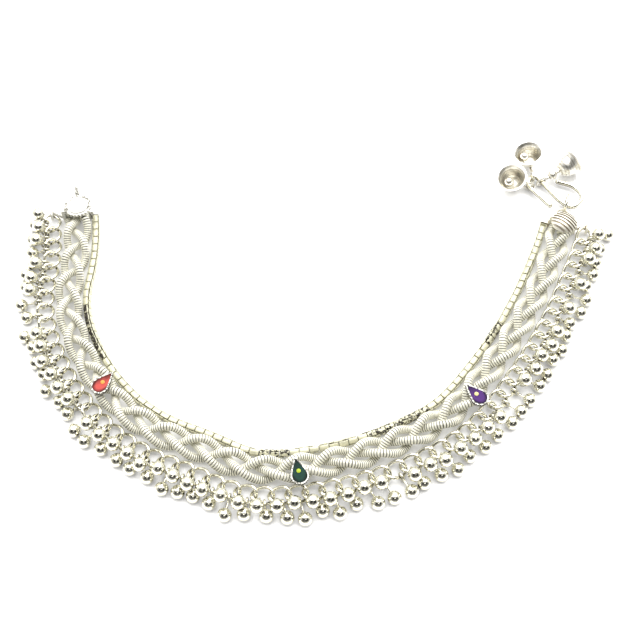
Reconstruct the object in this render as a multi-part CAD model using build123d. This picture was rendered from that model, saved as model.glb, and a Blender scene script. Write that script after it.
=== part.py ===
from build123d import *
import math
import os
import random
from bisect import bisect_left

# A payal, or silver anklet, unclasped and laid flat in an open arc.
# From the inner edge outwards it has a box chain, a flat plait of three snake chains, a curb chain and
# two rows of ball drops. Lengths are in millimetres, angles in degrees, and z = 0 is the table.

# How near a piece may come to the table or to the piece that carries it
TABLE_GAP = 0.05
SEAT_GAP = 0.1

# The inner edge as it lies: rows of length and left turn, read from the eye end to the hook end.
EDGE_START = (-64.0, 32.0)
EDGE_HEADING = -80.0
EDGE_ROWS = (
    (22, -16), (14, 25), (24, 24), (20, 27), (14, -6), (12, 31), (38, 24), (12, 20), (62, 22),
)
EDGE_LENGTH = sum(length for length, turn in EDGE_ROWS)
# How far the band is spread or drawn in across its width: rows of distance along the edge and factor.
SPREAD_ROWS = ((0, 1.10), (25, 1.0), (55, 0.95), (90, 1.0), (200, 1.0), (220, 1.08))

# Box chain, as the square bar that its links fill
BOX_WIDTH = 2.1
BOX_HEIGHT = 2.1

# Flat plait of three round snake chains
STRANDS = 3
STRAND_DIAMETER = 2.2
PLAIT_LINE = 4.9
PLAIT_SWING = 2.65
PLAIT_LIFT = 1.56
PLAIT_TURNS = 8.5
POINTS_PER_TURN = 16
STRAND_LEAD = 2.0
PLAIT_INNER = PLAIT_LINE - PLAIT_SWING
PLAIT_TOP = STRAND_DIAMETER + 2 * PLAIT_LIFT
PLAIT_OUTER = PLAIT_LINE + PLAIT_SWING + STRAND_DIAMETER / 2

# Curb chain of twisted oval links
CURB_LINE = 11.5
LINK_WIRE = 0.9
LINK_HALF_LENGTH = 2.8
LINK_HALF_WIDTH = 2.2
LINK_TWIST = 0.8
LINK_COUNT = 58
LINK_CORNERS = 12
LINK_CORNER_REACH = 1.02
CURB_END = 0.9
CURB_HEIGHT = 1.85

# Ball drops, each a ball soldered to a wire eyelet that rides on the outer side of a curb link
BALL_DIAMETER = 3.7
EYELET_RADIUS = 1.1
EYELET_WIRE = 0.6
DROP_SEED = 21
EYELET_SHIFT = 0.75
OUTER_REACHES = (3.2, 3.8, 4.6)
UPPER_REACHES = (3.2, 3.5)
UPPER_RISE = (56, 76)
UPPER_SHARE = 0.8
DROP_TURN = 7.0
DROP_LEAN = 7.0
END_FAN = 20.0
FAN_DECAY = 0.45

# Enamel teardrops: rows of name, distance along the edge, distance across and turn from the inward side
DROPLET_ROWS = (
    ("red", 56.7, 4.15, 13),
    ("green", 109.9, 6.55, 7),
    ("purple", 156.8, 6.35, -7),
)
ENAMEL_WIDTH = 3.8
ENAMEL_LENGTH = 6.5
ENAMEL_DEPTH = 0.5
SETTING_WALL = 0.2
SETTING_BASE = 0.4
SETTING_FIT = 0.05
SETTING_GRAINS = 34
GRAIN_DIAMETER = 0.4
BOWL_SHARE = 0.27
SHOULDER_ANGLE = 20.0
DOT_DIAMETER = 1.1
DOT_PLACE = 1.2
DOT_CURVE = 1.0
DOT_RISE = 0.25

# End caps, soldered to a bar that stops the chains: places are distance along the edge and across it
CAP_BAR = 1.2
CAP_FIT = 0.15
CAP_SEAT = PLAIT_TOP + SEAT_GAP
BAR_FOOT = 0.1
EYE_CAP_PLACE = (-1.2, 4.0)
HOOK_CAP_PLACE = (217.3, 5.1)
DOME_TURN = -20.0
DISC_WIDTH = 7.4
DISC_LENGTH = 6.6
DISC_THICKNESS = 0.8
DISC_GRAINS = 24
DISC_GRAIN_DIAMETER = 0.7
DISC_RIM = 0.5
DISC_STEP = 0.25
DOME_DIAMETER = 7.2
DOME_RADIUS = 5.0
DOME_FOOT = 0.4
DOME_RIBS = 8
GROOVE_DEPTH = 0.3
EYE_WIRE = 0.8
HOOK_EYE_RADIUS = 2.0
HOOK_EYE_CENTRE = 4.8
FREE_EYE_RADIUS = 1.6
FREE_EYE_CENTRE = 6.0
EYE_HEIGHT = 1.6
NECK_FACTOR = 1.5

# Clasp: S-hook of round wire, with a jump ring at each end of the anklet
JUMP_WIRE = 0.8
FREE_RING_RADIUS = 2.0
FREE_RING_CENTRE = FREE_EYE_CENTRE + FREE_EYE_RADIUS + 0.65
HOOK_RING_RADIUS = 2.7
HOOK_RING_CENTRE = HOOK_EYE_CENTRE + HOOK_EYE_RADIUS + 0.95
HOOK_WIRE = 1.4
HOOK_TIP_DIAMETER = 1.5
HOOK_HEIGHT = 1.95
HOOK_POINTS = (
    (70.3, 35.5), (64.0, 43.4), (66.8, 47.2), (69.8, 42.8),
    (73.3, 37.2), (76.8, 34.2), (81.0, 38.4), (78.4, 42.6), (73.7, 44.2),
)

# Bell charms: rows of place along the hook's wire, crown's place, direction of the mouth and stem bead
BELL_MOUTH_DIAMETER = 9.0
BELL_DEPTH = 5.2
BELL_WALL = 0.45
BELL_LOOP_RADIUS = 1.55
BELL_LOOP_WIRE = 0.7
BELL_STEM = 0.9
CLAPPER_DIAMETER = 2.8
CLAPPER_REACH = 3.5
CLAPPER_DROP = 1.2
CLAPPER_WIRE = 0.5
CLAPPER_START = 0.9
# Crown, shoulder, waist and flare of a bell: distance from its crown and radius, outside and inside
BELL_OUTSIDE = ((0, 0.9), (1.0, 2.45), (2.6, 3.1), (4.1, 3.6))
BELL_INSIDE = ((0.5, 0.8), (1.25, 2.1), (2.6, 2.65), (4.0, 3.15))
BELL_ROWS = (
    (0.21, (60.6, 44.1, 0.9), (-0.30, -0.20, 0.93), 0),
    (0.30, (66.2, 52.1, 0.9), (-0.25, 0.0, 0.97), 0),
    (0.375, (74.1, 47.2, 3.3), (0.84, 0.49, 0.24), 2.8),
)

# Fineness of measuring along the band, and the share of a run that an arc at its end takes
MARKS = 4000
ARC_SHARE = 0.45

# Middle of the footprint, where the origin is put
PLAN_CENTRE = (2.22, -2.75)


def on_edge(distance):
    """Point and heading in radians of the inner edge, a distance along it."""
    x, y = EDGE_START
    heading = math.radians(EDGE_HEADING)
    left = distance
    for number, (length, turn) in enumerate(EDGE_ROWS):
        bend = math.radians(turn) / length
        step = left if number == len(EDGE_ROWS) - 1 else min(left, length)
        x += (math.sin(heading + bend * step) - math.sin(heading)) / bend
        y -= (math.cos(heading + bend * step) - math.cos(heading)) / bend
        heading += bend * step
        left -= step
    return x, y, heading


def spread(distance):
    """Factor on the band's width, eased between the rows."""
    at, factor = SPREAD_ROWS[0]
    for next_at, next_factor in SPREAD_ROWS[1:]:
        if distance < next_at:
            part = max(0.0, (distance - at) / (next_at - at))
            return factor + (next_factor - factor) * (1 - math.cos(math.pi * part)) / 2
        at, factor = next_at, next_factor
    return factor


def spread_out(distance, across):
    """Distance out from the inner edge's line, with the plait and what lies beyond it spread."""
    if across <= PLAIT_INNER:
        return across
    return PLAIT_INNER + (across - PLAIT_INNER) * spread(distance)


def across_band(distance, across, z=0.0):
    """Point on the band: along the inner edge, then outwards across it."""
    x, y, heading = on_edge(distance)
    out = spread_out(distance, across)
    return Vector(x + math.sin(heading) * out, y - math.cos(heading) * out, z)


def even_stations(across, count, first, last):
    """Distances along the edge of evenly spaced places on a line of the band, and their pitch."""
    marks = [first + (last - first) * i / MARKS for i in range(MARKS + 1)]
    gone = [0.0]
    for mark, next_mark in zip(marks, marks[1:]):
        gone.append(gone[-1] + (across_band(next_mark, across) - across_band(mark, across)).length)
    pitch = gone[-1] / (count - 1)
    stations = [marks[bisect_left(gone, pitch * i)] for i in range(count - 1)]
    return stations + [last], pitch


def band_frame(distance, across, z):
    """Location with x along a line of the band, y inwards and z up."""
    ahead = across_band(distance + 0.2, across) - across_band(distance - 0.2, across)
    return Location(Plane(across_band(distance, across, z), x_dir=ahead, z_dir=(0, 0, 1)))


def smooth_path(points, closed=False):
    """Straight runs joined by tangent arcs, each arc as large as its two runs allow."""
    count = len(points)
    corners = range(count) if closed else range(1, count - 1)
    radii = []
    for i in corners:
        back = points[i - 1] - points[i]
        on = points[(i + 1) % count] - points[i]
        half_turn = math.radians(180 - back.get_angle(on)) / 2
        radii.append(ARC_SHARE * min(back.length, on.length) / math.tan(half_turn))
    return FilletPolyline(*points, radius=radii, close=closed), min(radii)


def tube(path, diameter):
    """Round bar along a path."""
    section = Plane(path @ 0, z_dir=path % 0) * Circle(diameter / 2)
    return sweep(section, path=path)


def box_chain():
    """Square bar along the inner edge."""
    arcs = []
    at = 0
    for length, turn in EDGE_ROWS:
        ends = [across_band(at + length * part, 0, BOX_HEIGHT / 2) for part in (0, 0.5, 1)]
        arcs.append(ThreePointArc(*ends))
        at += length
    path = Wire([arc.edge() for arc in arcs])
    section = Plane(path @ 0, x_dir=(0, 0, 1), z_dir=path % 0) * Rectangle(BOX_HEIGHT, BOX_WIDTH)
    return sweep(section, path=path)


def plait_strand(number):
    """One snake chain of the plait: a tube that swings across the band and over its neighbours."""
    steps = int(PLAIT_TURNS * POINTS_PER_TURN)
    stations, pitch = even_stations(PLAIT_LINE, steps + 1, STRAND_LEAD, EDGE_LENGTH - STRAND_LEAD)
    points = []
    for i, distance in enumerate([0.0] + stations + [EDGE_LENGTH]):
        step = min(max(i - 1, 0), steps)
        phase = math.tau * (step / POINTS_PER_TURN + number / STRANDS)
        across = PLAIT_LINE + PLAIT_SWING * math.sin(phase)
        z = STRAND_DIAMETER / 2 + PLAIT_LIFT * (1 + math.sin(2 * phase))
        points.append(across_band(distance, across, z))
    path, smallest = smooth_path(points)
    strand = tube(path, STRAND_DIAMETER)
    filled = strand.volume / (math.pi * STRAND_DIAMETER**2 / 4 * path.length)
    print(f"strand {number + 1}: least radius {smallest:.1f}, volume over section x length {filled:.4f}")
    return strand


def link_point(angle):
    """Point on a curb link's wire: an oval whose sides are twisted up and down."""
    a = math.radians(angle)
    return Vector(
        LINK_HALF_LENGTH * math.cos(a), LINK_HALF_WIDTH * math.sin(a), LINK_TWIST * math.sin(2 * a)
    )


def curb_link():
    """One twisted oval link, in two halves that meet at its ends."""
    corners = [link_point(360 * i / LINK_CORNERS) * LINK_CORNER_REACH for i in range(LINK_CORNERS)]
    path, smallest = smooth_path(corners, closed=True)
    edges = path.wire().order_edges()
    halves = [Wire(edges[:LINK_CORNERS]), Wire(edges[LINK_CORNERS:])]
    return tube(halves[0], LINK_WIRE) + tube(halves[1], LINK_WIRE)


def curb_frames():
    """Locations of the curb chain's links, from the eye end to the hook end."""
    stations, pitch = even_stations(CURB_LINE, LINK_COUNT, CURB_END, EDGE_LENGTH - CURB_END)
    print(f"curb link pitch {pitch:.2f}")
    return [band_frame(distance, CURB_LINE, CURB_HEIGHT) for distance in stations]


def ball_drop(reach):
    """Ball soldered to its eyelet, which stands on edge with its centre at the origin."""
    eyelet = Rot(90, 0, 0) * Torus(EYELET_RADIUS, EYELET_WIRE / 2)
    ball = Pos(reach, 0, 0) * Sphere(BALL_DIAMETER / 2)
    return eyelet + rod((EYELET_RADIUS, 0, 0), (reach, 0, 0), EYELET_WIRE) + ball


def hang_drops(links):
    """An outer drop on each link's outer side and an upper one on most, fanned out at the band's ends."""
    draw = random.Random(DROP_SEED)
    templates = {reach: ball_drop(reach) for reach in set(OUTER_REACHES + UPPER_REACHES)}
    side = math.degrees(math.asin(EYELET_SHIFT / LINK_HALF_LENGTH))
    ball_rise = BALL_DIAMETER / 2 + TABLE_GAP - CURB_HEIGHT
    outer, upper = [], []
    for number, frame in enumerate(links):
        reach = draw.choice(OUTER_REACHES)
        seat = link_point(-90 + side)
        rise = math.degrees(math.asin((ball_rise - seat.Z) / reach))
        fan = END_FAN * (FAN_DECAY ** (len(links) - 1 - number) - FAN_DECAY**number)
        turn = -90 + DROP_TURN + fan + draw.uniform(-DROP_LEAN, DROP_LEAN)
        outer.append(frame * Pos(seat) * Rot(0, 0, turn) * Rot(0, -rise, 0) * templates[reach])
        reach = draw.choice(UPPER_REACHES)
        rise = draw.uniform(*UPPER_RISE)
        turn = -90 - DROP_TURN + fan + draw.uniform(-DROP_LEAN, DROP_LEAN)
        seat = link_point(-90 - side)
        if draw.random() < UPPER_SHARE:
            upper.append(frame * Pos(seat) * Rot(0, 0, turn) * Rot(0, -rise, 0) * templates[reach])
    return outer, upper


def teardrop(width, length):
    """Face of a teardrop whose round end is centred on the origin and whose tip points along +y."""
    radius = width / 2
    shoulder = math.radians(SHOULDER_ANGLE)
    right = Vector(radius * math.cos(shoulder), radius * math.sin(shoulder))
    left = Vector(-right.X, right.Y)
    tip = Vector(0, length - radius)
    bowl = ThreePointArc(left, (0, -radius), right)
    right_side = TangentArc(right, tip, tangent=(-math.sin(shoulder), math.cos(shoulder)))
    left_side = TangentArc(left, tip, tangent=(math.sin(shoulder), math.cos(shoulder)))
    return make_face([bowl.edge(), right_side.edge(), left_side.edge()]).face()


def oval(half_length, half_width):
    """Face of an oval of four arcs."""
    across = [(half_length, 0), (0, half_width), (-half_length, 0), (0, -half_width)]
    arcs = []
    for i, start in enumerate(across):
        end = across[(i + 1) % 4]
        middle = ((start[0] + end[0]) * math.sqrt(0.5), (start[1] + end[1]) * math.sqrt(0.5))
        arcs.append(ThreePointArc(start, middle, end).edge())
    return make_face(arcs).face()


def grained(outline, count, diameter):
    """Outline with round grains side by side along its edge."""
    rim = outline.outer_wire()
    grains = [Pos(rim @ ((i + 0.5) / count)) * Circle(diameter / 2) for i in range(count)]
    return Sketch() + outline + grains


def enamel_droplet(distance, across, turn):
    """Setting with a grained rim, enamel and raised dot of one teardrop, where it sits on the plait."""
    place = band_frame(distance, across, PLAIT_TOP) * Rot(0, 0, turn) * Pos(0, -BOWL_SHARE * ENAMEL_LENGTH, 0)
    fit = 2 * SETTING_FIT
    outline = teardrop(ENAMEL_WIDTH + fit + 2 * SETTING_WALL, ENAMEL_LENGTH + 3 * SETTING_WALL)
    hollow = teardrop(ENAMEL_WIDTH + fit, ENAMEL_LENGTH + fit)
    depth = SETTING_BASE + ENAMEL_DEPTH
    rim = grained(outline, SETTING_GRAINS, GRAIN_DIAMETER)
    setting = extrude(rim, depth) - Pos(0, 0, SETTING_BASE) * extrude(hollow, depth)
    enamel_rise = SETTING_BASE + SETTING_FIT / 2
    enamel = Pos(0, 0, enamel_rise) * extrude(teardrop(ENAMEL_WIDTH, ENAMEL_LENGTH), ENAMEL_DEPTH)
    dot_rise = enamel_rise + ENAMEL_DEPTH + SETTING_FIT / 2
    dot_ball = Pos(0, 0, dot_rise + DOT_RISE - DOT_CURVE) * Sphere(DOT_CURVE)
    dot_slab = Pos(0, 0, dot_rise + DOT_RISE) * Cylinder(DOT_DIAMETER / 2, 2 * DOT_RISE)
    dot = Pos(0, DOT_PLACE, 0) * (dot_ball & dot_slab)
    return place * setting, place * enamel, place * dot


def rod(start, end, diameter):
    """Straight round bar between two points."""
    line = Vector(end) - Vector(start)
    middle = Vector(start) + line / 2
    return Plane(middle, z_dir=line) * Cylinder(diameter / 2, line.length)


def chain_stop(distance, side, end_link, eye_centre, eye_radius):
    """Bar across the chains' ends, with the curb chain's eyelet and a necked eye for a jump ring."""
    frame = band_frame(distance, 0, 0)
    middle = side * (CAP_FIT + CAP_BAR / 2)
    outer = -spread_out(distance, PLAIT_OUTER)
    inner = -(PLAIT_INNER - STRAND_DIAMETER / 2)
    tall = Pos(middle, (outer + inner) / 2, (BAR_FOOT + CAP_SEAT) / 2)
    bar = tall * Box(CAP_BAR, inner - outer, CAP_SEAT - BAR_FOOT)
    low = Pos(middle, (outer + BOX_WIDTH / 2) / 2, (BAR_FOOT + BOX_HEIGHT) / 2)
    bar += low * Box(CAP_BAR, BOX_WIDTH / 2 - outer, BOX_HEIGHT - BAR_FOOT)
    eyelet_place = end_link * Pos(side * LINK_HALF_LENGTH, 0, 0)
    eyelet = eyelet_place * Rot(90, 0, 0) * Torus(EYELET_RADIUS, JUMP_WIRE / 2)
    arm_end = (eyelet_place * Pos(side * (EYELET_RADIUS + JUMP_WIRE / 4), 0, 0)).position
    arm_start = (frame * Pos(middle, outer + CAP_BAR / 2, CURB_HEIGHT)).position
    eye = Pos(side * eye_centre, outer / 2, EYE_HEIGHT) * Torus(eye_radius, EYE_WIRE / 2)
    neck_end = (side * (eye_centre - eye_radius), outer / 2, EYE_HEIGHT)
    eye += rod((middle, outer / 2, EYE_HEIGHT), neck_end, NECK_FACTOR * EYE_WIRE)
    return frame * (bar + eye) + rod(arm_start, arm_end, NECK_FACTOR * JUMP_WIRE) + eyelet


def eye_cap(stop):
    """Chain stop under an oval disc with a grained rim."""
    place = band_frame(*EYE_CAP_PLACE, CAP_SEAT)
    outline = oval(DISC_LENGTH / 2, DISC_WIDTH / 2)
    disc = extrude(grained(outline, DISC_GRAINS, DISC_GRAIN_DIAMETER), DISC_THICKNESS)
    step = extrude(oval(DISC_LENGTH / 2 - DISC_RIM, DISC_WIDTH / 2 - DISC_RIM), DISC_STEP)
    return stop + place * (disc + Pos(0, 0, DISC_THICKNESS) * step)


def hook_cap(stop):
    """Chain stop under a round dome with ribs and grooves side by side."""
    place = band_frame(*HOOK_CAP_PLACE, CAP_SEAT) * Rot(0, 0, DOME_TURN)
    half = DOME_DIAMETER / 2
    sink = math.sqrt(DOME_RADIUS**2 - half**2) - DOME_FOOT
    slices = 2 * DOME_RIBS - 1
    width = DOME_DIAMETER / slices
    trim = Pos(0, 0, DOME_RADIUS / 2) * Cylinder(half, DOME_RADIUS)
    dome = None
    for i in range(slices):
        ball = Pos(0, 0, -sink) * Sphere(DOME_RADIUS - GROOVE_DEPTH * (i % 2))
        slab = Pos((i + 0.5) * width - half, 0, DOME_RADIUS / 2) * Box(width, 2 * DOME_DIAMETER, DOME_RADIUS)
        piece = ball & slab & trim
        dome = piece if dome is None else dome + piece
    return stop + place * dome


def jump_ring(distance, side, centre, radius):
    """Ring that stands on edge through a chain stop's eye."""
    frame = band_frame(distance, 0, 0)
    outer = -spread_out(distance, PLAIT_OUTER)
    place = Pos(side * centre, outer / 2, radius + JUMP_WIRE / 2 + TABLE_GAP)
    return frame * place * Rot(90, 0, 0) * Torus(radius, JUMP_WIRE / 2)


def hook_path():
    """Line of the S-hook's wire, lying level."""
    path, smallest = smooth_path([Vector(x, y, HOOK_HEIGHT) for x, y in HOOK_POINTS])
    return path


def s_hook():
    """S-hook of round wire with rounded tips."""
    path = hook_path()
    tip = Sphere(HOOK_TIP_DIAMETER / 2)
    return tube(path, HOOK_WIRE) + Pos(path @ 0) * tip + Pos(path @ 1) * tip


def bell_cup():
    """Flared cup with its crown at the origin and its mouth along +x."""
    rim = (BELL_DEPTH, BELL_MOUTH_DIAMETER / 2)
    lip = (BELL_DEPTH, BELL_MOUTH_DIAMETER / 2 - BELL_WALL)
    crown, shoulder, waist, flare = BELL_OUTSIDE
    bottom, inner_shoulder, inner_waist, inner_flare = BELL_INSIDE
    profile = [
        Line((0, 0), crown),
        ThreePointArc(crown, shoulder, waist),
        ThreePointArc(waist, flare, rim),
        Line(rim, lip),
        ThreePointArc(lip, inner_flare, inner_waist),
        ThreePointArc(inner_waist, inner_shoulder, bottom),
        Line(bottom, (bottom[0], 0)),
        Line((bottom[0], 0), (0, 0)),
    ]
    return revolve(make_face([piece.edge() for piece in profile]), Axis.X)


def bell(path, along, crown, direction, bead):
    """Bell cup whose stem ends in a loop round the hook's wire, and its clapper, which rests low in it."""
    axis = Vector(*direction).normalized()
    crown = Vector(*crown)
    stem = crown - path @ along
    across = (path % along).cross(stem).normalized()
    loop_plane = Plane(path @ along, x_dir=stem, z_dir=stem.cross(across))
    loop = loop_plane * Torus(BELL_LOOP_RADIUS, BELL_LOOP_WIRE / 2)
    place = Location(Plane(crown, x_dir=axis, z_dir=axis.cross(across)))
    stem_start = path @ along + stem.normalized() * BELL_LOOP_RADIUS
    cup = place * bell_cup() + loop + rod(stem_start, crown, BELL_STEM)
    if bead:
        cup += Pos(stem_start + (crown - stem_start) / 2) * Sphere(bead / 2)
    down = (place.inverse() * Location(crown - Vector(0, 0, 1))).position
    low = Vector(0, down.Y, down.Z).normalized() * CLAPPER_DROP
    ball = Vector(CLAPPER_REACH, low.Y, low.Z)
    clapper = Pos(ball) * Sphere(CLAPPER_DIAMETER / 2) + rod((CLAPPER_START, 0, 0), ball, CLAPPER_WIRE)
    return cup, place * clapper


def save(name, solids):
    """Write one node, in the frame whose origin is the middle of the footprint on the table."""
    shape = solids[0] if len(solids) == 1 else Compound(children=solids)
    export_step(Pos(-PLAN_CENTRE[0], -PLAN_CENTRE[1], 0) * shape, f"parts/{name}.step")


def main():
    os.makedirs("parts", exist_ok=True)
    nodes = {"box_chain": [box_chain()]}
    for number in range(STRANDS):
        nodes[f"braid_strand_{number + 1}"] = [plait_strand(number)]
    frames = curb_frames()
    link = curb_link()
    nodes["curb_chain"] = [frame * link for frame in frames]
    nodes["outer_drops"], nodes["upper_drops"] = hang_drops(frames)
    for colour, distance, across, turn in DROPLET_ROWS:
        setting, enamel, dot = enamel_droplet(distance, across, turn)
        nodes[f"setting_{colour}"] = [setting]
        nodes[f"enamel_{colour}"] = [enamel]
        nodes[f"enamel_dot_{colour}"] = [dot]
    nodes["eye_cap"] = [eye_cap(chain_stop(0, -1, frames[0], FREE_EYE_CENTRE, FREE_EYE_RADIUS))]
    nodes["hook_cap"] = [hook_cap(chain_stop(EDGE_LENGTH, 1, frames[-1], HOOK_EYE_CENTRE, HOOK_EYE_RADIUS))]
    nodes["eye_ring"] = [jump_ring(0, -1, FREE_RING_CENTRE, FREE_RING_RADIUS)]
    nodes["hook_ring"] = [jump_ring(EDGE_LENGTH, 1, HOOK_RING_CENTRE, HOOK_RING_RADIUS)]
    nodes["s_hook"] = [s_hook()]
    path = hook_path()
    for number, row in enumerate(BELL_ROWS):
        cup, clapper = bell(path, *row)
        nodes[f"bell_{number + 1}"] = [cup]
        nodes[f"clapper_{number + 1}"] = [clapper]
    boxes = [solid.bounding_box() for solids in nodes.values() for solid in solids]
    low = [min(tuple(box.min)[axis] for box in boxes) for axis in range(3)]
    high = [max(tuple(box.max)[axis] for box in boxes) for axis in range(3)]
    print("low", low, "high", high, "middle", [(a + b) / 2 for a, b in zip(low, high)])
    for name, solids in nodes.items():
        save(name, solids)


if __name__ == "__main__":
    main()
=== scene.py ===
"""Payal anklet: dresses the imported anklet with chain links, ribbed snake chains, enamel and silver."""

import bisect
import math

import bpy
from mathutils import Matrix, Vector


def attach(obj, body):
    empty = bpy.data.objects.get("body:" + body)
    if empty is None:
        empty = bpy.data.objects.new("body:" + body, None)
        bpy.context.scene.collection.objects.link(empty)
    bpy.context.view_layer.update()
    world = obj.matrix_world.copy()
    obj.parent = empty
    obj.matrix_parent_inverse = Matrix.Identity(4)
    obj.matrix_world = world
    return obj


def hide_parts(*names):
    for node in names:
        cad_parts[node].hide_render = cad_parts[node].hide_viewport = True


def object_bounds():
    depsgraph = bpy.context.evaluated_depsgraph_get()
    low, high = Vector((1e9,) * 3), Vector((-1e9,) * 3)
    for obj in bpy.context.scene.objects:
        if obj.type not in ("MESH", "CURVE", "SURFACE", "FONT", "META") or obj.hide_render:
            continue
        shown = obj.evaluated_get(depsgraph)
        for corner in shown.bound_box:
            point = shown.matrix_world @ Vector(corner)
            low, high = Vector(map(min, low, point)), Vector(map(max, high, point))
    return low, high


bl_info = {
    "name": "Payal anklet",
    "version": (1, 0, 0),
    "blender": (4, 5, 0),
    "location": "View3D > Sidebar > Anklet",
    "description": "Builds a plaited silver anklet with ball drops, enamel drops and bells",
    "category": "Object",
}

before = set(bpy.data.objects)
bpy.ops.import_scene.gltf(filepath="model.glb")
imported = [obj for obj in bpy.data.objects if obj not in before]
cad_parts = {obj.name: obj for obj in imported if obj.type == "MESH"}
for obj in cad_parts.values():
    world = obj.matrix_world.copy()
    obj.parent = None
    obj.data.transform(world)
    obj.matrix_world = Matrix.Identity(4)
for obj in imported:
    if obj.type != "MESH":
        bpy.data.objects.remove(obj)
CAD_LOW, CAD_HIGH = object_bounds()

MM = 0.001

# Middle of the anklet's footprint, as its route is measured in millimetres
PLAN_CENTRE = (2.22, -2.75)

# The inner edge as it lies: rows of length and left turn, read from the eye end to the hook end
EDGE_START = (-64.0, 32.0)
EDGE_HEADING = -80.0
EDGE_ROWS = (
    (22, -16), (14, 25), (24, 24), (20, 27), (14, -6), (12, 31), (38, 24), (12, 20), (62, 22),
)
EDGE_LENGTH = sum(length for length, turn in EDGE_ROWS)
SPREAD_ROWS = ((0, 1.10), (25, 1.0), (55, 0.95), (90, 1.0), (200, 1.0), (220, 1.08))

# Steps in which a line's length is measured
LINE_STEPS = 4000

BOX_SIZE = 2.1
BOX_LINKS = 168
BOX_LINK_WIDTH = 1.40
BOX_CORNER = 0.20
BOX_CHAMFER = 0.10
LEAST_BEND = 0.02
CORNER_STEPS = 2

STRANDS = 3
STRAND_RADIUS = 1.1
PLAIT_LINE = 4.9
PLAIT_SWING = 2.65
PLAIT_LIFT = 1.56
PLAIT_TURNS = 8.5
STRAND_LEAD = 2.0
STRAND_STEPS = 400
STRAND_SIDES = 14
RIB_STEPS = 5
PLAIT_INNER = PLAIT_LINE - PLAIT_SWING

SILVER_NODES = ("curb_chain", "outer_drops", "upper_drops")
HOOK_NODES = ("hook_ring", "s_hook")
EYE_NODES = ("eye_cap", "eye_ring")
COLOURS = ("red", "green", "purple")
# Way to the edge on which each enamel's painted shade is darkest
EDGE_WAY = (-0.35, 0.94, 0.0)

# Crown and direction of each bell's mouth
BELL_ROWS = (
    ((60.6, 44.1, 0.9), (-0.30, -0.20, 0.93)),
    ((66.2, 52.1, 0.9), (-0.25, 0.0, 0.97)),
    ((74.1, 47.2, 3.3), (0.84, 0.49, 0.24)),
)

# Disc of the eye cap: distance along the edge, across the band, and half its length and width
EYE_DISC = (-1.2, 4.0, 3.3, 3.7)

# Stretches of the box chain that are painted with dark reflections: distances along the inner edge, and 1 for
# the links' outer faces or 2 for every face
DARK_REFLECTION_STRETCHES = ((30, 48, 1), (101, 108, 2), (128, 147, 2), (172, 180, 2))

# Places where the box chain lies twisted: middle, reach to either side, and degrees
TWISTS = ((39, 17, 40), (70, 9, -18), (104, 8, 45), (121, 10, 45), (140, 8, -38), (176, 8, 40), (200, 8, -20))

# The camera: its lens in millimetres, distance in metres, and degrees above the table
CAMERA_LENS = 57.6
CAMERA_DISTANCE = 0.28
CAMERA_RISE = 60.0

# The table and the lamp over it, in metres and watts
TABLE_HALF_SIDE = 2.0
OVERHEAD_PLACE = (0.0, 0.24, 0.58)
OVERHEAD_SIZE = 0.8
OVERHEAD_POWER = 6.0

# Finishes: colour where it is bright, and colour for its tarnish, its painted shade and, on the box chain,
# its painted dark reflections
EYE_SILVER = ((0.80, 0.79, 0.73), (0.20, 0.19, 0.16))
GILT_AND_SHADE = ((0.90, 0.87, 0.76), (0.26, 0.18, 0.09))
SETTING_SILVER = ((0.64, 0.64, 0.58), (0.07, 0.06, 0.05))
BELL_SILVER = ((0.97, 0.95, 0.88), (0.48, 0.43, 0.33))
BOX_SILVER = ((0.69, 0.67, 0.49), (0.03, 0.025, 0.02))
GROOVE_SHADE = (0.05, 0.045, 0.035)
BELL_RING_PITCH = 0.75

# Shares of their colour that an enamel and its dot keep at the dark edge of their painted shade, and that the
# table's glow and its paper keep in the painted shade between the pieces
DARK_SHARES = {"enamel": 0.16, "dot": 0.6}
GLOW_SHARE_IN_SHADE = 0.28
PAPER_SHARE_IN_SHADE = 0.80

# The tent's opening, in front of the table, and the lamp in it: degrees above the table and half sizes
OPENING_RISE = 54.0
OPENING_HALF_WIDTH = 0.90
OPENING_HALF_HEIGHT = 0.64
LAMP_RISE = 62.0
WORLD_STRENGTH = 1.2
FLOOR_GLOW = 0.70


# The route of the band


def on_edge(distance):
    """Point and heading in radians of the inner edge, a distance along it."""
    x, y = EDGE_START
    heading = math.radians(EDGE_HEADING)
    left = distance
    for number, (length, turn) in enumerate(EDGE_ROWS):
        bend = math.radians(turn) / length
        step = left if number == len(EDGE_ROWS) - 1 else min(left, length)
        x += (math.sin(heading + bend * step) - math.sin(heading)) / bend
        y -= (math.cos(heading + bend * step) - math.cos(heading)) / bend
        heading += bend * step
        left -= step
    return x, y, heading


def spread(distance):
    """Factor on the band's width, eased between the rows."""
    at, factor = SPREAD_ROWS[0]
    for next_at, next_factor in SPREAD_ROWS[1:]:
        if distance < next_at:
            part = max(0.0, (distance - at) / (next_at - at))
            return factor + (next_factor - factor) * (1 - math.cos(math.pi * part)) / 2
        at, factor = next_at, next_factor
    return factor


def across_band(distance, across, z=0.0):
    """Point on the band in metres: along the inner edge, then outwards across it."""
    x, y, heading = on_edge(distance)
    out = across
    if across > PLAIT_INNER:
        out = PLAIT_INNER + (across - PLAIT_INNER) * spread(distance)
    return MM * Vector((
        x + math.sin(heading) * out - PLAN_CENTRE[0],
        y - math.cos(heading) * out - PLAN_CENTRE[1],
        z,
    ))


def even_stations(across, count, first, last):
    """Distances along the edge of evenly spaced places on a line of the band."""
    marks = [first + (last - first) * i / LINE_STEPS for i in range(LINE_STEPS + 1)]
    gone = [0.0]
    for mark, next_mark in zip(marks, marks[1:]):
        gone.append(gone[-1] + (across_band(next_mark, across) - across_band(mark, across)).length)
    pitch = gone[-1] / (count - 1)
    return [marks[bisect.bisect_left(gone, pitch * i)] for i in range(count - 1)] + [last]


# Meshes and objects


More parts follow.
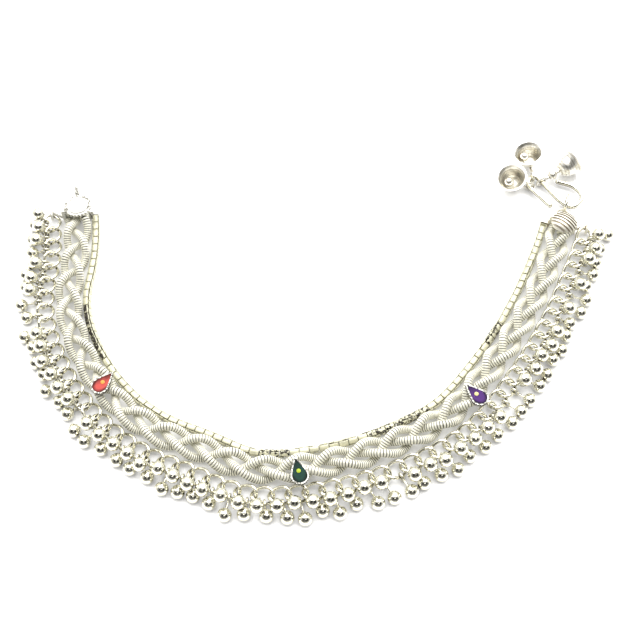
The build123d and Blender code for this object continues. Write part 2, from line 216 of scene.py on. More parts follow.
def new_mesh_object(name, verts, faces):
    """Smooth object at the origin from plain lists of corners and faces."""
    mesh = bpy.data.meshes.new(name)
    mesh.from_pydata([tuple(v) for v in verts], [], faces)
    mesh.validate()
    for polygon in mesh.polygons:
        polygon.use_smooth = True
    obj = bpy.data.objects.new(name, mesh)
    bpy.context.scene.collection.objects.link(obj)
    return obj


def line_object(name, points):
    """Object with one open line of edges through the points."""
    mesh = bpy.data.meshes.new(name)
    mesh.from_pydata([tuple(p) for p in points], [(i, i + 1) for i in range(len(points) - 1)], [])
    obj = bpy.data.objects.new(name, mesh)
    bpy.context.scene.collection.objects.link(obj)
    return obj


def drop_object(obj):
    """Remove an object that is used up."""
    bpy.data.objects.remove(obj, do_unlink=True)


def finish_piece(obj, slot, *nodes):
    """Put a piece on the anklet's body and hide the CAD nodes that it stands for; its slot is not used."""
    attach(obj, "root")
    if nodes:
        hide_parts(*nodes)


def grown(source, tree, name, inputs):
    """Plain mesh object that a Geometry Nodes tree grows on a source object."""
    modifier = source.modifiers.new(tree.name, "NODES")
    modifier.node_group = tree
    for item in tree.interface.items_tree:
        if item.item_type == "SOCKET" and item.in_out == "INPUT" and item.name in inputs:
            modifier[item.identifier] = inputs[item.name]
    bpy.context.view_layer.update()
    evaluated = source.evaluated_get(bpy.context.evaluated_depsgraph_get())
    mesh = bpy.data.meshes.new_from_object(evaluated)
    source.modifiers.remove(modifier)
    drop_object(source)
    mesh.name = name
    obj = bpy.data.objects.new(name, mesh)
    bpy.context.scene.collection.objects.link(obj)
    if not mesh.polygons:
        raise RuntimeError(f"{name} came out of its node tree empty")
    return obj


class GrowTree:
    """A Geometry Nodes tree written as calls: named inputs, nodes, and one finished geometry."""

    def __init__(self, name, inputs):
        self.tree = bpy.data.node_groups.new(name, "GeometryNodeTree")
        self.tree.interface.new_socket("Geometry", in_out="OUTPUT", socket_type="NodeSocketGeometry")
        self.tree.interface.new_socket("Geometry", in_out="INPUT", socket_type="NodeSocketGeometry")
        for label, kind, default in inputs:
            socket = self.tree.interface.new_socket(label, in_out="INPUT", socket_type=kind)
            if default is not None:
                socket.default_value = default
        self.entry = self.tree.nodes.new("NodeGroupInput")
        self.exit = self.tree.nodes.new("NodeGroupOutput")

    def given(self, label):
        """A named input of the tree."""
        return self.entry.outputs[label]

    def node(self, kind, sockets=None, **settings):
        """A node with its settings, and values or links for its sockets."""
        made = self.tree.nodes.new(kind)
        for label, value in settings.items():
            setattr(made, label, value)
        for label, value in (sockets or {}).items():
            socket = made.inputs[label]
            if isinstance(value, bpy.types.NodeSocket):
                self.tree.links.new(value, socket)
            else:
                socket.default_value = value
        return made

    def math(self, operation, first, second=0.0):
        """Output of a Math node."""
        return self.node("ShaderNodeMath", {0: first, 1: second}, operation=operation).outputs[0]

    def store(self, geometry, name, value, domain="POINT"):
        """Geometry with a number kept on its points or instances under a name."""
        return self.node(
            "GeometryNodeStoreNamedAttribute", {"Geometry": geometry, "Name": name, "Value": value},
            data_type="FLOAT", domain=domain,
        ).outputs[0]

    def finish(self, geometry, material):
        """Realize what was made, give it its material, and close the tree."""
        real = self.node("GeometryNodeRealizeInstances", {"Geometry": geometry})
        smooth = self.node("GeometryNodeSetShadeSmooth", {"Geometry": real.outputs[0]})
        painted = self.node("GeometryNodeSetMaterial", {"Geometry": smooth.outputs[0], "Material": material})
        self.tree.links.new(painted.outputs[0], self.exit.inputs[0])
        return self.tree


# Shader maths


class Signal:
    """A shader socket that can be used in Python expressions; each operator adds a Math node."""

    def __init__(self, paint, socket):
        self.paint = paint
        self.socket = socket

    def _with(self, operation, other, swapped=False):
        pair = (other, self) if swapped else (self, other)
        return self.paint.node("ShaderNodeMath", {"operation": operation}, {0: pair[0], 1: pair[1]})[0]

    def __add__(self, other):
        return self._with("ADD", other)

    def __radd__(self, other):
        return self._with("ADD", other, True)

    def __sub__(self, other):
        return self._with("SUBTRACT", other)

    def __rsub__(self, other):
        return self._with("SUBTRACT", other, True)

    def __mul__(self, other):
        return self._with("MULTIPLY", other)

    def __rmul__(self, other):
        return self._with("MULTIPLY", other, True)

    def __truediv__(self, other):
        return self._with("DIVIDE", other)

    def __rtruediv__(self, other):
        return self._with("DIVIDE", other, True)

    def __pow__(self, other):
        return self._with("POWER", other)

    def __lt__(self, other):
        return self._with("LESS_THAN", other)

    def __gt__(self, other):
        return self._with("GREATER_THAN", other)


class Outputs:
    """A node's outputs by number or name, as signals."""

    def __init__(self, paint, node):
        self.paint = paint
        self.node = node

    def __getitem__(self, key):
        return Signal(self.paint, self.node.outputs[key])


class Paint:
    """A material's node tree, written as calls."""

    def __init__(self, name):
        self.material = bpy.data.materials.new(name)
        self.material.use_nodes = True
        self.tree = self.material.node_tree
        self.tree.nodes.clear()

    @classmethod
    def on(cls, tree):
        """Calls that write into a tree that is there already, such as a world's."""
        paint = cls.__new__(cls)
        paint.material = None
        paint.tree = tree
        tree.nodes.clear()
        return paint

    def node(self, kind, settings=None, sockets=None):
        """A node: its settings are set first, then the values or links of its sockets."""
        made = self.tree.nodes.new(kind)
        for label, value in (settings or {}).items():
            setattr(made, label, value)
        for label, value in (sockets or {}).items():
            socket = made.inputs[label]
            if isinstance(value, Signal):
                self.tree.links.new(value.socket, socket)
            else:
                socket.default_value = value
        return Outputs(self, made)

    def place(self):
        """Position on the piece, in metres."""
        return self.node("ShaderNodeTexCoord")["Object"]

    def noise(self, scale, detail=2.0, roughness=0.5, vector=None):
        """Noise between about 0 and 1, at so many cells a metre."""
        sockets = {"Vector": vector or self.place(), "Scale": scale, "Detail": detail, "Roughness": roughness}
        return self.node("ShaderNodeTexNoise", {"noise_dimensions": "3D"}, sockets)["Fac"]

    def fade(self, value, low, high, to_low=0.0, to_high=1.0):
        """Value moved from one range to another and clamped."""
        sockets = {"Value": value, 1: low, 2: high, 3: to_low, 4: to_high}
        return self.node("ShaderNodeMapRange", {"clamp": True}, sockets)["Result"]

    def blend(self, factor, first, second):
        """Mix of two colours."""
        made = self.tree.nodes.new("ShaderNodeMix")
        made.data_type = "RGBA"
        for number, value in ((0, factor), (6, first), (7, second)):
            if isinstance(value, Signal):
                self.tree.links.new(value.socket, made.inputs[number])
            else:
                made.inputs[number].default_value = value if number == 0 else (*value[:3], 1.0)
        return Signal(self, made.outputs[2])

    def dot(self, first, second):
        """Dot product of a vector signal and another vector."""
        other = second if isinstance(second, Signal) else tuple(second)
        return self.node("ShaderNodeVectorMath", {"operation": "DOT_PRODUCT"}, {0: first, 1: other})["Value"]

    def attribute(self, name):
        """A number kept on the mesh under a name."""
        return self.node("ShaderNodeAttribute", {"attribute_name": name})["Fac"]

    def upward(self):
        """How far the surface faces up, from -1 to 1."""
        normal = self.node("ShaderNodeNewGeometry")["Normal"]
        return self.dot(normal, (0, 0, 1))

    def outward(self):
        """How far the surface faces away from the middle of the anklet, from -1 to 1."""
        sockets = {0: self.place(), 1: (1.0, 1.0, 0.0)}
        flat = self.node("ShaderNodeVectorMath", {"operation": "MULTIPLY"}, sockets)["Vector"]
        away = self.node("ShaderNodeVectorMath", {"operation": "NORMALIZE"}, {0: flat})["Vector"]
        return self.dot(self.node("ShaderNodeNewGeometry")["Normal"], away)

    def spanned(self, corners, way):
        """Position along a way, from -1 to 1 between the first and last of some corners."""
        steps = [corner.dot(way) for corner in corners]
        half = (max(steps) - min(steps)) / 2
        return (self.dot(self.place(), way) - (min(steps) + half)) / half

    def occlusion(self, distance):
        """How open the surface is to its surroundings, from 0 to 1, within a distance."""
        return self.node("ShaderNodeAmbientOcclusion", {"samples": 8}, {"Distance": distance})["AO"]

    def bump(self, height, strength, distance):
        """Normal from a height signal."""
        sockets = {"Height": height, "Strength": strength, "Distance": distance}
        return self.node("ShaderNodeBump", None, sockets)["Normal"]

    def surface(self, sockets):
        """Principled shader and output; returns the finished material."""
        shader = self.node("ShaderNodeBsdfPrincipled", None, sockets)["BSDF"]
        self.node("ShaderNodeOutputMaterial", None, {"Surface": shader})
        return self.material


# Materials


def silver(name, bright, shade, roughness, reach, dark=None, polish=1.0, side_shade=0.0):
    """Silver, tarnished and darkened with painted shade in hollows and close above the floor within a reach,
    with painted shade on the faces that turn from up, and darkened where a dark signal nears 1.
    """
    paint = Paint(name)
    # Occlusion within the reach darkens the hollows: partly tarnish, partly painted shade where the floor and
    # neighbouring pieces close in.
    hollow_tarnish_and_shade = 1 - paint.fade(paint.occlusion(reach), 0.1, 0.75)
    cloud = paint.noise(900.0, 3.0, 0.6)
    tarnish_and_painted_darkening = hollow_tarnish_and_shade + 0.3 * (cloud - 0.5)
    # Painted shade: darker as the surface turns from facing up.
    if side_shade:
        tarnish_and_painted_darkening = tarnish_and_painted_darkening + side_shade * paint.fade(paint.upward(), 0.55, 0.0)
    if dark:
        tarnish_and_painted_darkening = tarnish_and_painted_darkening + dark(paint)
    colour = paint.blend(paint.fade(tarnish_and_painted_darkening, 0.0, 1.0), bright, shade)
    rough = paint.fade(paint.noise(2600.0, 2.0, 0.6), 0.3, 0.7, roughness * 0.8, roughness * 1.25)
    normal = paint.bump(paint.noise(1800.0, 2.0), 0.06, 0.0002)
    return paint.surface({"Base Color": colour, "Metallic": polish, "Roughness": rough, "Normal": normal})


def reflection_spots_and_tint(paint):
    """Painted dark reflections as black spots on the box chain's dark stretches, and a little difference
    between its links.
    """
    dark = paint.attribute("dark")
    outer = paint.fade(dark, 0.0, 1.0) * paint.fade(dark, 2.0, 1.0) * paint.fade(paint.outward(), 0.08, 0.25)
    spots = outer * paint.fade(paint.noise(1100.0), 0.40, 0.47)
    all_round = paint.fade(dark, 1.5, 2.0) * paint.fade(paint.noise(1500.0), 0.50, 0.56)
    return 1.1 * (spots + all_round) + 0.12 * paint.attribute("tint")


def beaded_rim(paint):
    """Dark specks on the eye cap, closest together along its disc's rim and on its eye and ring."""
    distance, across, half_length, half_width = EYE_DISC
    centre = across_band(distance, across)
    heading = on_edge(distance)[2]
    ahead = Vector((math.cos(heading), math.sin(heading), 0.0))
    aside = Vector((math.sin(heading), -math.cos(heading), 0.0))
    here = paint.place()
    along = (paint.dot(here, ahead) - centre.dot(ahead)) / (half_length * MM)
    out = (paint.dot(here, aside) - centre.dot(aside)) / (half_width * MM)
    reach = (along ** 2 + out ** 2) ** 0.5
    rim = paint.fade(reach, 0.66, 0.88) * paint.fade(reach, 1.2, 1.05)
    specks = paint.fade(paint.noise(1700.0, 0.0), 0.44, 0.54)
    return specks * (rim * paint.fade(along, 0.8, 0.3) + 1.1 * paint.fade(along, -1.2, -1.5) + 0.2)


def bell_silver(name, crown, direction):
    """Dull silver with turned rings about a bell's axis."""
    axis = Vector(direction).normalized()
    start = MM * Vector((crown[0] - PLAN_CENTRE[0], crown[1] - PLAN_CENTRE[1], crown[2]))

    def rings(paint):
        along = (paint.dot(paint.place(), axis) - start.dot(axis)) / (BELL_RING_PITCH * MM)
        wave = paint.node("ShaderNodeMath", {"operation": "SINE"}, {0: along * math.tau})[0]
        return 0.6 * paint.fade(wave, 0.1, 0.9)

    return silver(name, *BELL_SILVER, 0.32, 1.2 * MM, rings)


def enamel(name, bright, dark, corners):
    """Glassy enamel with painted shade towards one edge of the drop and thinly all round its outline."""
    paint = Paint(name)
    cloud = paint.noise(900.0, 2.0, 0.5)
    middle = sum(corners, Vector()) / len(corners)
    tip = max(corners, key=lambda corner: (corner - middle).length)
    ahead = Vector((tip.x - middle.x, tip.y - middle.y, 0.0)).normalized()
    along = paint.spanned(corners, ahead)
    across = paint.spanned(corners, Vector((-ahead.y, ahead.x, 0.0)))
    # The outline is a thin band of painted shade round the drop's rim.
    outline = paint.fade((along ** 2 + across ** 2) ** 0.5, 0.72, 0.98)
    toward = paint.spanned(corners, Vector(EDGE_WAY).normalized())
    shadow = paint.fade(toward + 0.8 * (cloud - 0.5), 0.0, 0.9)
    colour = paint.blend(paint.fade(shadow + 0.9 * outline, 0.0, 1.0), bright, dark)
    rough = paint.fade(paint.noise(1500.0), 0.3, 0.7, 0.06, 0.14)
    return paint.surface({"Base Color": colour, "Roughness": rough, "Specular IOR Level": 0.1})


def set_material(obj, material):
    """Give an object one material."""
    obj.data.materials.clear()
    obj.data.materials.append(material)


# Settings that a user would change


class AnkletSizes(bpy.types.PropertyGroup):
    """Sizes of the links and ribs"""

    rib_pitch: bpy.props.FloatProperty(
        name="Rib pitch", description="Length of one rib of a snake chain",
        default=0.66 * MM, min=0.3 * MM, max=3 * MM, unit="LENGTH", precision=5,
    )
    rib_depth: bpy.props.FloatProperty(
        name="Rib depth", description="Depth of the groove between two ribs, as a part of the radius",
        default=0.14, min=0.0, max=0.5, subtype="FACTOR",
    )
    link_length: bpy.props.FloatProperty(
        name="Box link length", description="Outside length of one box chain link",
        default=2.45 * MM, min=1 * MM, max=5 * MM, unit="LENGTH", precision=5,
    )
    link_wall: bpy.props.FloatProperty(
        name="Box link wall", description="Thickness of the box chain's band",
        default=0.32 * MM, min=0.1 * MM, max=1 * MM, unit="LENGTH", precision=5,
    )


class AnkletColours(bpy.types.PropertyGroup):
    """Colours of the metal, the enamel and the stage"""

    silver: bpy.props.FloatVectorProperty(
        name="Silver", description="Colour of polished silver", subtype="COLOR",
        default=(0.97, 0.95, 0.81), min=0.0, max=1.0,
    )
    # Used for tarnish and for painted shade alike.
    tarnish_and_shade: bpy.props.FloatVectorProperty(
        name="Tarnish and shade", description="Colour of silver in its tarnished hollows and its painted shade", subtype="COLOR",
        default=(0.16, 0.14, 0.10), min=0.0, max=1.0,
    )
    enamel_red: bpy.props.FloatVectorProperty(
        name="Red enamel", description="Colour of the red drop", subtype="COLOR",
        default=(0.60, 0.09, 0.075), min=0.0, max=1.0,
    )
    enamel_green: bpy.props.FloatVectorProperty(
        name="Green enamel", description="Colour of the green drop", subtype="COLOR",
        default=(0.007, 0.044, 0.031), min=0.0, max=1.0,
    )
    enamel_purple: bpy.props.FloatVectorProperty(
        name="Purple enamel", description="Colour of the purple drop", subtype="COLOR",
        default=(0.085, 0.027, 0.18), min=0.0, max=1.0,
    )
    dot_red: bpy.props.FloatVectorProperty(
        name="Red drop's dot", description="Colour of the dot on the red drop", subtype="COLOR",
        default=(0.93, 0.42, 0.10), min=0.0, max=1.0,
    )
    dot_green: bpy.props.FloatVectorProperty(
        name="Green drop's dot", description="Colour of the dot on the green drop", subtype="COLOR",
        default=(0.48, 0.62, 0.06), min=0.0, max=1.0,
    )
    dot_purple: bpy.props.FloatVectorProperty(
        name="Purple drop's dot", description="Colour of the dot on the purple drop", subtype="COLOR",
        default=(0.90, 0.74, 0.35), min=0.0, max=1.0,
    )
    floor: bpy.props.FloatVectorProperty(
        name="Floor", description="Colour of the table", subtype="COLOR",
        default=(0.92, 0.92, 0.92), min=0.0, max=1.0,
    )


# Operators


class ANKLET_OT_stage(bpy.types.Operator):
    """Make the camera, the pale floor and the soft studio light"""

    bl_idname = "anklet.stage"
    bl_label = "Stage"

    def execute(self, context):
        """Build the stage."""
        scene = context.scene
        scene.view_settings.view_transform = "Standard"
        camera_data = bpy.data.cameras.new("camera")
        camera_data.sensor_width = 36.0
        camera_data.lens = CAMERA_LENS
        camera = bpy.data.objects.new("camera", camera_data)
        target = MM * Vector((-PLAN_CENTRE[0], -PLAN_CENTRE[1], 0.0))
        rise = math.radians(CAMERA_RISE)
        back = Vector((0.0, -math.cos(rise), math.sin(rise)))
        camera.location = target + back * CAMERA_DISTANCE
        camera.rotation_mode = "QUATERNION"
        camera.rotation_quaternion = (-back).to_track_quat("-Z", "Y")
        camera_data.clip_start = 0.01
        camera_data.clip_end = 10.0
        scene.collection.objects.link(camera)
        scene.camera = camera
        ways = ((-1, -1), (1, -1), (1, 1), (-1, 1))
        corners = [(x * TABLE_HALF_SIDE, y * TABLE_HALF_SIDE, CAD_LOW.z) for x, y in ways]
        floor = new_mesh_object("floor", corners, [(0, 1, 2, 3)])
        set_material(floor, glowing_table(scene.anklet_colours.floor))
        self.add_light("overhead", OVERHEAD_PLACE, OVERHEAD_SIZE, OVERHEAD_POWER)
        scene.world = studio_world()
        return {"FINISHED"}

    def add_light(self, name, place, size, power):
        """Square area light at a place, turned towards the origin."""
        data = bpy.data.lights.new(name, "AREA")
        data.size = size
        data.energy = power
        light = bpy.data.objects.new(name, data)
        light.location = place
        light.rotation_mode = "QUATERNION"
        light.rotation_quaternion = (-Vector(place)).to_track_quat("-Z", "Y")
        bpy.context.scene.collection.objects.link(light)


def glowing_table(colour):
    """Matt white table that glows a little, less so between the anklet's pieces, where painted shade dims its
    glow and darkens its colour.
    """
    paint = Paint("floor")
    # Painted shade on the table: where occlusion within 9 mm is low, its glow and colour fall to their
    # shares.
    free = paint.fade(paint.occlusion(9 * MM), 0.35, 0.62)
    glow = paint.blend(free, [GLOW_SHARE_IN_SHADE * part for part in colour], colour)
    paper = paint.blend(free, [PAPER_SHARE_IN_SHADE * part for part in colour], colour)
    return paint.surface({
        "Base Color": paper, "Roughness": 0.6, "Emission Color": glow, "Emission Strength": FLOOR_GLOW,
    })


def studio_world():
    """White tent light, with a wide dark opening in its front and a small lamp inside the opening."""
    world = bpy.data.worlds.new("studio")
    world.use_nodes = True
    paint = Paint.on(world.node_tree)
    toward = paint.node("ShaderNodeTexCoord")["Generated"]
    apart = paint.node("ShaderNodeSeparateXYZ", None, {0: toward})
    tent = paint.fade(apart["Z"], 0.02, 0.45, 0.45, 1.0)
    rise = math.radians(OPENING_RISE)
    into = paint.dot(toward, (0.0, -math.cos(rise), math.sin(rise)))
    up = paint.dot(toward, (0.0, math.sin(rise), math.cos(rise)))
    sideways = (apart["X"] / OPENING_HALF_WIDTH) ** 2
    oval = sideways + (up / OPENING_HALF_HEIGHT) ** 2
    patches = paint.fade(paint.noise(4.5, 1.0, 0.5, toward), 0.38, 0.46, 0.6, 1.0)
    opening = paint.fade(oval, 1.3, 0.75) * (into > 0.0) * patches
    lamp_rise = math.radians(LAMP_RISE)
    lamp = paint.dot(toward, Vector((0.08, -math.cos(lamp_rise), math.sin(lamp_rise))).normalized())
    speck = paint.fade(lamp, math.cos(math.radians(8)), math.cos(math.radians(5)))
    light = WORLD_STRENGTH * tent * (1 - 0.97 * opening) + 2.0 * speck
    sockets = {"Color": (1.0, 0.99, 0.965, 1.0), "Strength": light}
    background = paint.node("ShaderNodeBackground", None, sockets)
    paint.node("ShaderNodeOutputWorld", None, {"Surface": background["Background"]})
    return world


class ANKLET_OT_finish_metal(bpy.types.Operator):
    """Give the solid silver pieces and the bells their finishes"""

    bl_idname = "anklet.finish_metal"
    bl_label = "Solid silver"

    def execute(self, context):
        """Set the metals of the carried-over pieces."""
        colours = context.scene.anklet_colours
        # Painted shade darkens the curb chain and the drops on the faces that turn from up.
        metal = silver("polished silver", colours.silver, colours.tarnish_and_shade, 0.06, 1.2 * MM, side_shade=0.45)
        for name in SILVER_NODES:
            set_material(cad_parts[name], metal)
        # The hook's wire gets that painted shade at full weight.
        wire = silver("hook silver", colours.silver, colours.tarnish_and_shade, 0.12, 0.5 * MM, side_shade=1.0)
        for name in HOOK_NODES:
            set_material(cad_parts[name], wire)
        dull = silver("dull eye silver", *EYE_SILVER, 0.30, 0.25 * MM, beaded_rim, 0.3)
        for name in EYE_NODES:
            set_material(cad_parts[name], dull)
        # The dome's grooves go dark by occlusion: a gilt tint in part, and painted shade in part.
        gilt = silver(
            "gilt grooves", *GILT_AND_SHADE, 0.34, 0.7 * MM,
            lambda paint: 0.9 - 0.9 * paint.fade(paint.occlusion(0.5 * MM), 0.62, 0.92), 0.5,
        )
        set_material(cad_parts["hook_cap"], gilt)
        # The setting rims get painted shade at half weight on the faces that turn from up.
        rim = silver(
            "setting silver", *SETTING_SILVER, 0.3, 0.4 * MM,
            lambda paint: 0.85 * paint.fade(paint.noise(2000.0, 0.0), 0.50, 0.58), 0.5, 0.5,
        )
        for name in COLOURS:
            set_material(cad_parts[f"setting_{name}"], rim)
        for number, (crown, direction) in enumerate(BELL_ROWS, 1):
            metal = bell_silver(f"bell silver {number}", crown, direction)
            set_material(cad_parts[f"bell_{number}"], metal)
            set_material(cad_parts[f"clapper_{number}"], metal)
        return {"FINISHED"}


class ANKLET_OT_enamels(bpy.types.Operator):
    """Give the three enamel drops and their dots their finishes"""

    bl_idname = "anklet.enamels"
    bl_label = "Enamels"

    def execute(self, context):
        """Set the enamels."""
        colours = context.scene.anklet_colours
        for name in COLOURS:
            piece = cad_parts[f"enamel_{name}"]
            corners = [vertex.co for vertex in piece.data.vertices]
            for part, node in (("enamel", piece), ("dot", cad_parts[f"enamel_dot_{name}"])):
                bright = getattr(colours, f"{part}_{name}")
                dark = [DARK_SHARES[part] * level for level in bright]
                set_material(node, enamel(f"{name} {part}", bright, dark, corners))
        return {"FINISHED"}


class ANKLET_OT_snake_chains(bpy.types.Operator):
    """Rib the three snake chains of the plait"""

    bl_idname = "anklet.snake_chains"
    bl_label = "Snake chains"

    def execute(self, context):
        """Grow each strand along its own line."""
        sizes = context.scene.anklet_sizes
        colours = context.scene.anklet_colours
        # The grooves between the ribs are painted near black in GROOVE_SHADE as their shade.
        metal = silver(
            "snake chain silver", colours.silver, GROOVE_SHADE, 0.34, 0.2 * MM,
            lambda paint: paint.fade(paint.attribute("groove"), 0.05, 0.5), 0.15,
        )
        tree = rib_tree()
        for number in range(STRANDS):
            name = f"snake_chain_{number + 1}"
            inputs = {
                "Radius": STRAND_RADIUS * MM, "Pitch": sizes.rib_pitch, "Depth": sizes.rib_depth,
                "Material": metal,
            }
            strand = grown(line_object("line", strand_line(number)), tree, name, inputs)
            finish_piece(strand, "snake_chain_silver", f"braid_strand_{number + 1}")
        return {"FINISHED"}


def strand_line(number):
    """Centre line of one strand of the plait."""
    stations = even_stations(PLAIT_LINE, STRAND_STEPS + 1, STRAND_LEAD, EDGE_LENGTH - STRAND_LEAD)
    points = []
    for i, distance in enumerate(stations):
        phase = math.tau * (PLAIT_TURNS * i / STRAND_STEPS + number / STRANDS)
        across = PLAIT_LINE + PLAIT_SWING * math.sin(phase)
        z = STRAND_RADIUS + PLAIT_LIFT * (1 + math.sin(2 * phase))
        points.append((distance, across, z))
    points.insert(0, (0.0, *points[0][1:]))
    points.append((EDGE_LENGTH, *points[-1][1:]))
    return [across_band(*point) for point in points]


def rib_tree():
    """Tube along a line whose radius rises and falls once for each rib."""
    grow = GrowTree("snake ribs", (
        ("Radius", "NodeSocketFloat", 0.001),
        ("Pitch", "NodeSocketFloat", 0.0009),
        ("Depth", "NodeSocketFloat", 0.1),
        ("Material", "NodeSocketMaterial", None),
    ))
    curve = grow.node("GeometryNodeMeshToCurve", {"Mesh": grow.given("Geometry")}).outputs[0]
    step = grow.math("DIVIDE", grow.given("Pitch"), RIB_STEPS)
    even = grow.node("GeometryNodeResampleCurve", {"Curve": curve, "Length": step}, mode="LENGTH").outputs[0]
    index = grow.node("GeometryNodeInputIndex").outputs[0]
    place = grow.math("MODULO", index, RIB_STEPS)
    groove = grow.math("LESS_THAN", place, 0.5)
    shrink = grow.math("SUBTRACT", 1.0, grow.math("MULTIPLY", groove, grow.given("Depth")))
    radius = grow.math("MULTIPLY", shrink, grow.given("Radius"))
    # The groove mark also places the painted shade in the grooves.
    marked = grow.store(even, "groove", groove)
    sized = grow.node("GeometryNodeSetCurveRadius", {"Curve": marked, "Radius": radius}).outputs[0]
    sockets = {"Resolution": STRAND_SIDES, "Radius": 1.0}
    ring = grow.node("GeometryNodeCurvePrimitiveCircle", sockets).outputs[0]
    tube = grow.node(
        "GeometryNodeCurveToMesh", {"Curve": sized, "Profile Curve": ring, "Scale": radius, "Fill Caps": True}
    ).outputs[0]
    return grow.finish(tube, grow.given("Material"))


class ANKLET_OT_box_chain(bpy.types.Operator):
    """Make the box chain's links along the inner edge"""

    bl_idname = "anklet.box_chain"
    bl_label = "Box chain"

    def execute(self, context):
        """Grow the links on the edge's line."""
        sizes = context.scene.anklet_sizes
        metal = silver("box chain silver", *BOX_SILVER, 0.24, 0.35 * MM, reflection_spots_and_tint, 0.2)
        ends = sizes.link_length / 2 / MM
        stations = even_stations(0.0, BOX_LINKS, ends, EDGE_LENGTH - ends)
        twists = [twisted(distance) for distance in stations]
        rises = [BOX_SIZE / 2 * (math.cos(twist) + abs(math.sin(twist))) for twist in twists]
        line = line_object("line", [across_band(s, 0.0, rise) for s, rise in zip(stations, rises)])
        dark = line.data.attributes.new("dark", "FLOAT", "POINT")
        twist = line.data.attributes.new("twist", "FLOAT", "POINT")
        for i, distance in enumerate(stations):
            # Marks the stretches whose links get painted dark reflections: 1 on their outer faces, 2 on every
            # face.
            dark.data[i].value = sum(kind for low, high, kind in DARK_REFLECTION_STRETCHES if low < distance < high)
            twist.data[i].value = twists[i]
        link = box_link(sizes.link_length, BOX_SIZE * MM, BOX_LINK_WIDTH * MM, sizes.link_wall)
        chain = grown(line, link_tree(), "box_chain_links", {"Link": link, "Material": metal})
        drop_object(link)
        finish_piece(chain, "box_chain_silver", "box_chain")
        return {"FINISHED"}


def twisted(distance):
    """Twist of the box chain in radians, a distance along the edge."""
    return sum(
        math.radians(angle) * max(0.0, 1 - abs(distance - middle) / reach) for middle, reach, angle in TWISTS
    )


def box_link(length, size, width, wall):
    """Band of metal bent into a rounded square loop about the y axis."""
    corner = BOX_CORNER * MM
    path = []
    for quarter, (sx, sz) in enumerate(((1, 1), (-1, 1), (-1, -1), (1, -1))):
        centre = Vector((sx * (length / 2 - corner), 0, sz * (size / 2 - corner)))
        for i in range(CORNER_STEPS + 1):
            angle = math.radians(90 * quarter + 90 * i / CORNER_STEPS)
            path.append((centre, Vector((math.cos(angle), 0, math.sin(angle)))))
    chamfer = BOX_CHAMFER * MM
    section = (
        (0, -width / 2 + chamfer), (0, width / 2 - chamfer), (-chamfer, width / 2),
        (-wall + chamfer, width / 2), (-wall, width / 2 - chamfer), (-wall, -width / 2 + chamfer),
        (-wall + chamfer, -width / 2), (-chamfer, -width / 2),
    )
    verts = []
    for centre, out in path:
        for depth, side in section:
            point = centre + out * max(corner + depth, LEAST_BEND * MM)
            verts.append((point.x, side, point.z))
    faces = []
    rows, columns = len(path), len(section)
    for i in range(rows):
        for j in range(columns):
            a, b = i * columns + j, i * columns + (j + 1) % columns
            c, d = ((i + 1) % rows) * columns + (j + 1) % columns, ((i + 1) % rows) * columns + j
            faces.append((a, b, c, d))
    return new_mesh_object("box_link", verts, faces)


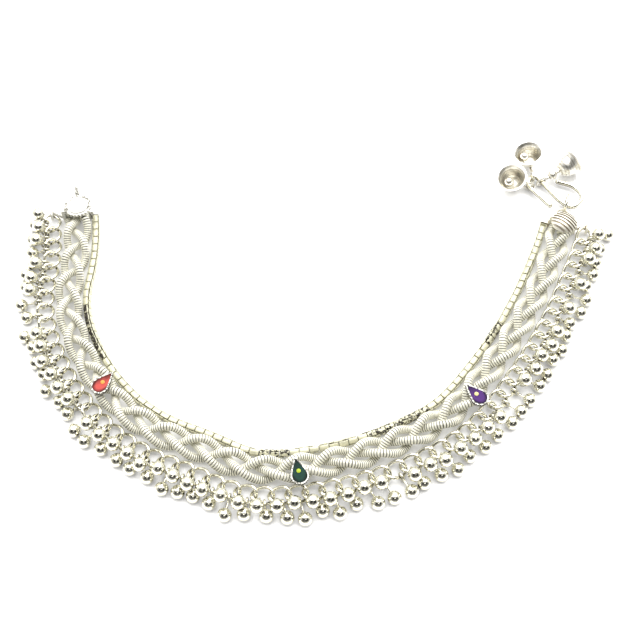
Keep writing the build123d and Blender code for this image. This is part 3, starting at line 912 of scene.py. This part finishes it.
def link_tree():
    """Links on the points of a line, each turned a quarter about it from the one before."""
    grow = GrowTree("box links", (
        ("Link", "NodeSocketObject", None),
        ("Seed", "NodeSocketInt", 3),
        ("Material", "NodeSocketMaterial", None),
    ))
    curve = grow.node("GeometryNodeMeshToCurve", {"Mesh": grow.given("Geometry")}).outputs[0]
    tangent = grow.node("GeometryNodeInputTangent").outputs[0]
    along = grow.node(
        "FunctionNodeAlignEulerToVector", {"Vector": tangent}, axis="X", pivot_axis="Z"
    ).outputs[0]
    captured = grow.node("GeometryNodeCaptureAttribute", {"Geometry": curve}, domain="POINT")
    captured.capture_items.new("VECTOR", "Turn")
    grow.tree.links.new(along, captured.inputs["Turn"])
    spots = grow.node(
        "GeometryNodeCurveToPoints", {"Curve": captured.outputs[0]}, mode="EVALUATED"
    ).outputs[0]
    link = grow.node("GeometryNodeObjectInfo", {"Object": grow.given("Link")}).outputs["Geometry"]
    sockets = {"Points": spots, "Instance": link, "Rotation": captured.outputs["Turn"]}
    placed = grow.node("GeometryNodeInstanceOnPoints", sockets).outputs[0]
    odd = grow.math("MODULO", grow.node("GeometryNodeInputIndex").outputs[0], 2.0)
    quarter = grow.math("MULTIPLY", odd, math.pi / 2)
    twist = grow.node("GeometryNodeInputNamedAttribute", {"Name": "twist"}, data_type="FLOAT").outputs[0]
    roll = grow.node("ShaderNodeCombineXYZ", {"X": grow.math("ADD", quarter, twist)}).outputs[0]
    rolled = grow.node("GeometryNodeRotateInstances", {"Instances": placed, "Rotation": roll}).outputs[0]
    draw = grow.node(
        "FunctionNodeRandomValue", {2: 0.0, 3: 1.0, "Seed": grow.given("Seed")}, data_type="FLOAT"
    )
    tinted = grow.store(rolled, "tint", draw.outputs[1], "INSTANCE")
    return grow.finish(tinted, grow.given("Material"))


class ANKLET_PT_panel(bpy.types.Panel):
    """Lists the anklet's sizes, colours and pieces"""

    bl_idname = "ANKLET_PT_panel"
    bl_label = "Anklet"
    bl_space_type = "VIEW_3D"
    bl_region_type = "UI"
    bl_category = "Anklet"

    def draw(self, context):
        """Lay out the panel."""
        for group in (context.scene.anklet_sizes, context.scene.anklet_colours):
            box = self.layout.box()
            for label in group.__annotations__:
                box.prop(group, label)
        for operator in OPERATORS:
            self.layout.operator(operator.bl_idname)


OPERATORS = (
    ANKLET_OT_stage,
    ANKLET_OT_finish_metal,
    ANKLET_OT_enamels,
    ANKLET_OT_box_chain,
    ANKLET_OT_snake_chains,
)
CLASSES = (AnkletSizes, AnkletColours, *OPERATORS, ANKLET_PT_panel)


def register():
    """Register the classes and the scene's settings."""
    for cls in CLASSES:
        bpy.utils.register_class(cls)
    bpy.types.Scene.anklet_sizes = bpy.props.PointerProperty(type=AnkletSizes)
    bpy.types.Scene.anklet_colours = bpy.props.PointerProperty(type=AnkletColours)


def unregister():
    """Take the settings and the classes away again."""
    del bpy.types.Scene.anklet_colours
    del bpy.types.Scene.anklet_sizes
    for cls in reversed(CLASSES):
        bpy.utils.unregister_class(cls)


def main():
    register()
    bpy.ops.anklet.stage()
    bpy.ops.anklet.finish_metal()
    bpy.ops.anklet.enamels()
    bpy.ops.anklet.box_chain()
    bpy.ops.anklet.snake_chains()


if __name__ == "__main__":
    main()
